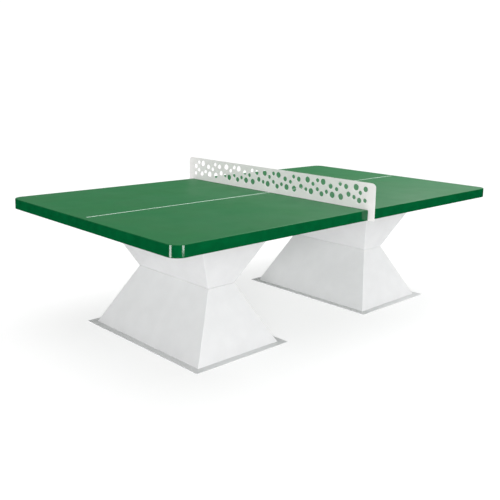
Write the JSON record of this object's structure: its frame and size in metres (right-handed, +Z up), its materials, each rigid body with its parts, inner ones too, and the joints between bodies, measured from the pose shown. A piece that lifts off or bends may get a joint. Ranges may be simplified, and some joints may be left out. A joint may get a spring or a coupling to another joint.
{
  "type": "outdoor table tennis table",
  "caption": "Outdoor table tennis table with a thick green top in two halves, a perforated steel net and two hourglass sheet-steel legs.",
  "frame": {"origin": "on the floor under the middle of the net", "axes": "+X along the table, +Y across it along the net, +Z up"},
  "size_m": [2.74, 1.609, 0.9125],
  "materials": {
    "green_top": "satin",
    "white_line": "satin",
    "net_coat": "satin",
    "leg_coat": "satin",
    "zinc": "satin",
    "rubber": "matte"
  },
  "bodies": {
    "root": {"centre_line_left": "white_line", "centre_line_right": "white_line", "leg_left_lower_back": "leg_coat", "leg_left_lower_front": "leg_coat", "leg_left_lower_inner": "leg_coat", "leg_left_lower_outer": "leg_coat", "leg_left_top_screw_1": "zinc", "leg_left_top_screw_2": "zinc", "leg_left_top_screw_3": "zinc", "leg_left_top_screw_4": "zinc", "leg_left_upper_back": "leg_coat", "leg_left_upper_front": "leg_coat", "leg_left_upper_inner": "leg_coat", "leg_left_upper_outer": "leg_coat", "leg_left_waist_backing": "zinc", "leg_left_waist_bolt_1": "zinc", "leg_left_waist_bolt_2": "zinc", "leg_left_waist_bolt_3": "zinc", "leg_left_waist_bolt_4": "zinc", "leg_right_lower_back": "leg_coat", "leg_right_lower_front": "leg_coat", "leg_right_lower_inner": "leg_coat", "leg_right_lower_outer": "leg_coat", "leg_right_top_screw_1": "zinc", "leg_right_top_screw_2": "zinc", "leg_right_top_screw_3": "zinc", "leg_right_top_screw_4": "zinc", "leg_right_upper_back": "leg_coat", "leg_right_upper_front": "leg_coat", "leg_right_upper_inner": "leg_coat", "leg_right_upper_outer": "leg_coat", "leg_right_waist_backing": "zinc", "leg_right_waist_bolt_1": "zinc", "leg_right_waist_bolt_2": "zinc", "leg_right_waist_bolt_3": "zinc", "leg_right_waist_bolt_4": "zinc", "net_angle_left": "leg_coat", "net_angle_right": "leg_coat", "net_angle_screw_left_1": "zinc", "net_angle_screw_left_2": "zinc", "net_angle_screw_right_1": "zinc", "net_angle_screw_right_2": "zinc", "net_clamp_bolt_1": "zinc", "net_clamp_bolt_2": "zinc", "net_clamp_bolt_3": "zinc", "net_clamp_nut_1": "zinc", "net_clamp_nut_2": "zinc", "net_clamp_nut_3": "zinc", "net_gasket_left": "rubber", "net_gasket_right": "rubber", "net_plate": "net_coat", "top_half_left": "green_top", "top_half_right": "green_top"}
  },
  "joints": []
}
